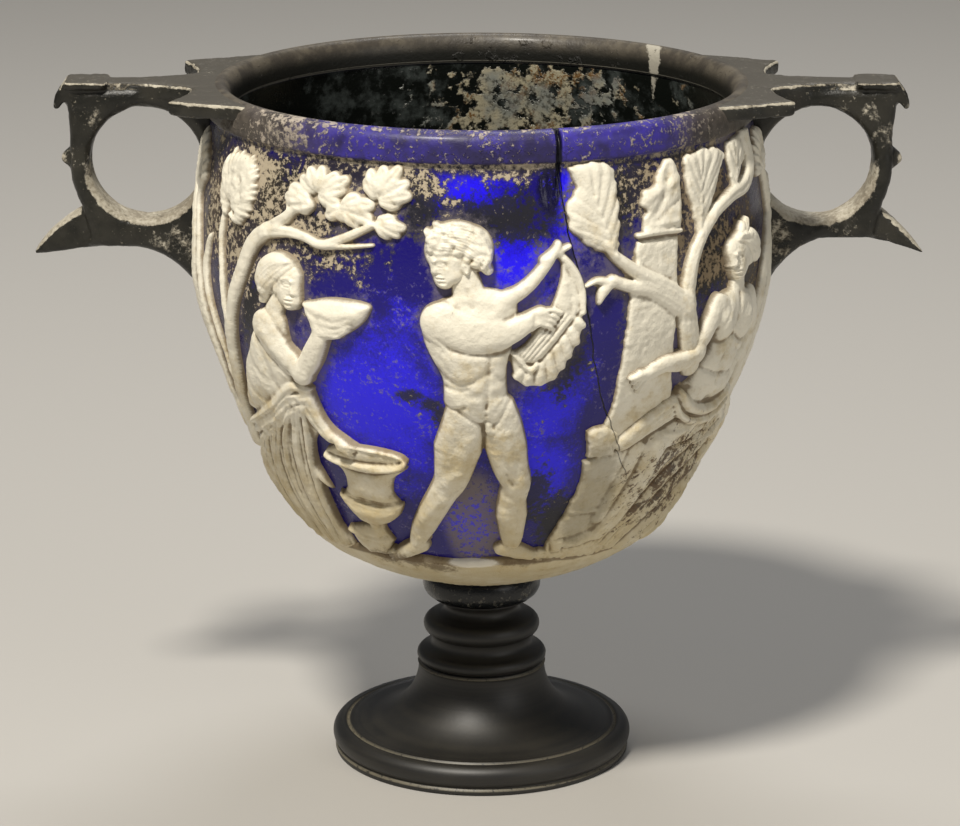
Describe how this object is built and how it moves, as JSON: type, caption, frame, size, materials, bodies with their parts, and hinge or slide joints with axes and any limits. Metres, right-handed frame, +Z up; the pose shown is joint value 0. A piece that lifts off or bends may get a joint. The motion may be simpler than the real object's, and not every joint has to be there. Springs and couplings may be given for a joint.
{
  "type": "cameo glass cup on a turned stand",
  "caption": "Two-handled blue glass drinking cup with a carved white figure layer, ring handles with spurs, on a dark turned foot.",
  "frame": {"origin": "centre of the underside of the stand, on the surface that the cup stands on", "axes": "+Z up along the cup's axis, the handles point along X, the front with the lyre player faces -Y"},
  "size_m": [0.176, 0.1175, 0.1375],
  "materials": {
    "cobalt_glass": "deep cobalt glass, weathered, with beige crust",
    "white_glass": "opaque ivory glass, carved, brown dirt in the creases",
    "dark_foot": "blackened turned wood, satin"
  },
  "bodies": {
    "root": {"cup": "cobalt_glass", "stand": "dark_foot"}
  },
  "joints": []
}
